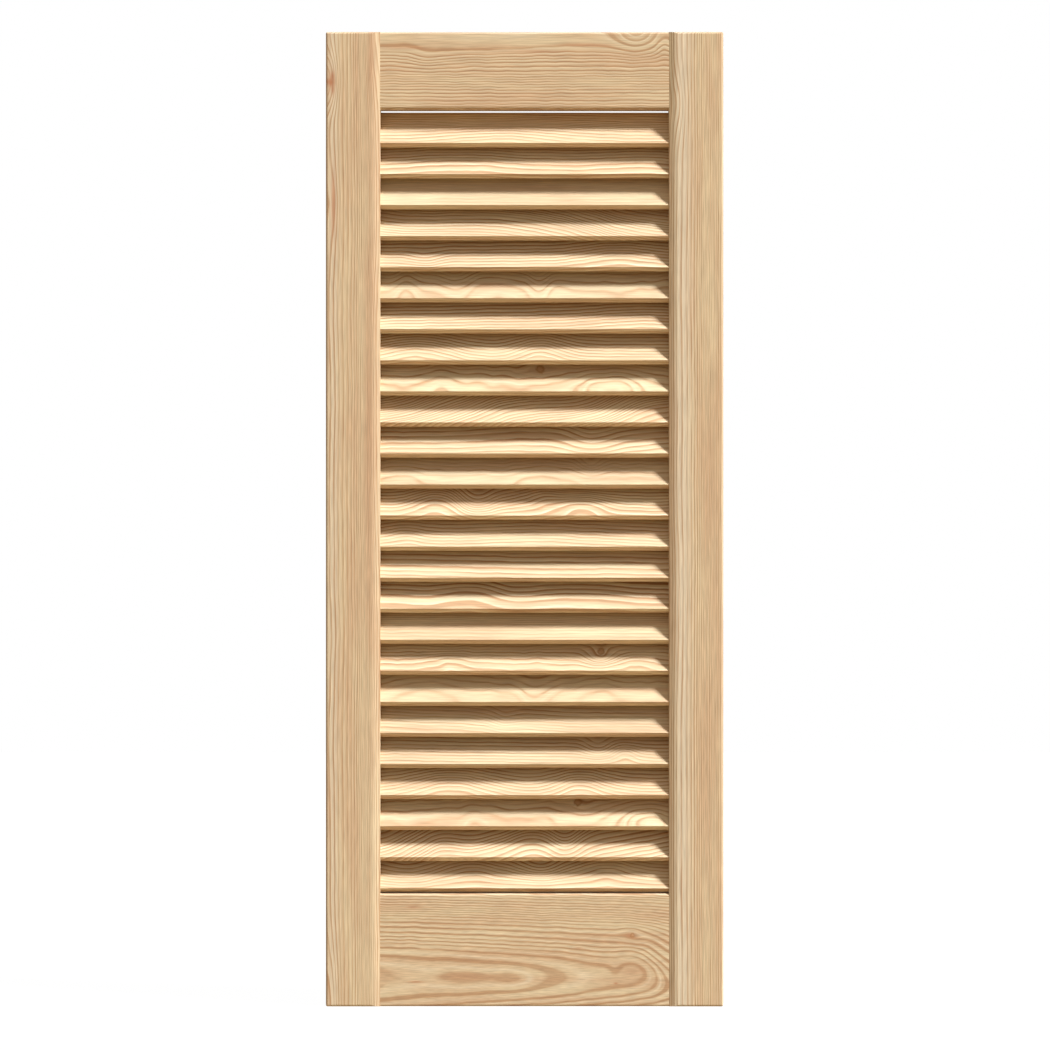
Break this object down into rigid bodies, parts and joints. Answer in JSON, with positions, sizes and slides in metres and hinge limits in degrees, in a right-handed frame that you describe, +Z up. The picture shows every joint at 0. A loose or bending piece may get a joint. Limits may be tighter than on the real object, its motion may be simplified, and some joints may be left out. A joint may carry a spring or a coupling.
{
  "type": "louvred bifold closet door leaf",
  "caption": "Narrow louvred pine leaf of a bifold closet door: stiles, rails, fixed slanting slats, end pivot bushes and fold hinges on its back.",
  "frame": {"origin": "on the pivot axis of the left stile, at the leaf's bottom edge", "axes": "+X across the leaf from the pivot stile to the hinge stile, +Y from the front to the back, +Z up"},
  "size_m": [0.4059, 0.0421, 0.993],
  "materials": {
    "pine_frame": "bare planed pine",
    "pine_slats": "bare planed pine",
    "dowel_wood": "bare turned beech",
    "bush_plastic": "moulded nylon",
    "hinge_steel": "zinc plated",
    "pin_and_screw_steel": "bright zinc plated"
  },
  "bodies": {
    "leaf": {"left_stile": "pine_frame", "right_stile": "pine_frame", "top_rail": "pine_frame", "bottom_rail": "pine_frame", "slat_01": "pine_slats", "slat_02": "pine_slats", "slat_03": "pine_slats", "slat_04": "pine_slats", "slat_05": "pine_slats", "slat_06": "pine_slats", "slat_07": "pine_slats", "slat_08": "pine_slats", "slat_09": "pine_slats", "slat_10": "pine_slats", "slat_11": "pine_slats", "slat_12": "pine_slats", "slat_13": "pine_slats", "slat_14": "pine_slats", "slat_15": "pine_slats", "slat_16": "pine_slats", "slat_17": "pine_slats", "slat_18": "pine_slats", "slat_19": "pine_slats", "slat_20": "pine_slats", "slat_21": "pine_slats", "slat_22": "pine_slats", "slat_23": "pine_slats", "slat_24": "pine_slats", "slat_25": "pine_slats", "top_rail_dowels": "dowel_wood", "bottom_rail_dowels": "dowel_wood", "top_pivot_bush": "bush_plastic", "bottom_pivot_bush": "bush_plastic", "hinge_fixed_flap_top": "hinge_steel", "hinge_fixed_flap_middle": "hinge_steel", "hinge_fixed_flap_bottom": "hinge_steel", "hinge_pin_top": "pin_and_screw_steel", "hinge_pin_middle": "pin_and_screw_steel", "hinge_pin_bottom": "pin_and_screw_steel", "hinge_screws_top": "pin_and_screw_steel", "hinge_screws_middle": "pin_and_screw_steel", "hinge_screws_bottom": "pin_and_screw_steel"},
    "top_free_flap": {"hinge_free_flap_top": "hinge_steel"},
    "middle_free_flap": {"hinge_free_flap_middle": "hinge_steel"},
    "bottom_free_flap": {"hinge_free_flap_bottom": "hinge_steel"}
  },
  "joints": [
    {"name": "fold_hinge_top", "type": "hinge", "parent": "leaf", "child": "top_free_flap", "pos_m": [0.3835, 0.0212, 0.853], "axis": [0, 0, -1], "range_deg": [0, 180]},
    {"name": "fold_hinge_middle", "type": "hinge", "parent": "leaf", "child": "middle_free_flap", "pos_m": [0.3835, 0.0212, 0.4965], "axis": [0, 0, -1], "range_deg": [0, 180]},
    {"name": "fold_hinge_bottom", "type": "hinge", "parent": "leaf", "child": "bottom_free_flap", "pos_m": [0.3835, 0.0212, 0.14], "axis": [0, 0, -1], "range_deg": [0, 180]}
  ],
  "couplings": [
    {"joint": "fold_hinge_middle", "follows": "fold_hinge_top", "ratio": 1},
    {"joint": "fold_hinge_bottom", "follows": "fold_hinge_top", "ratio": 1}
  ]
}
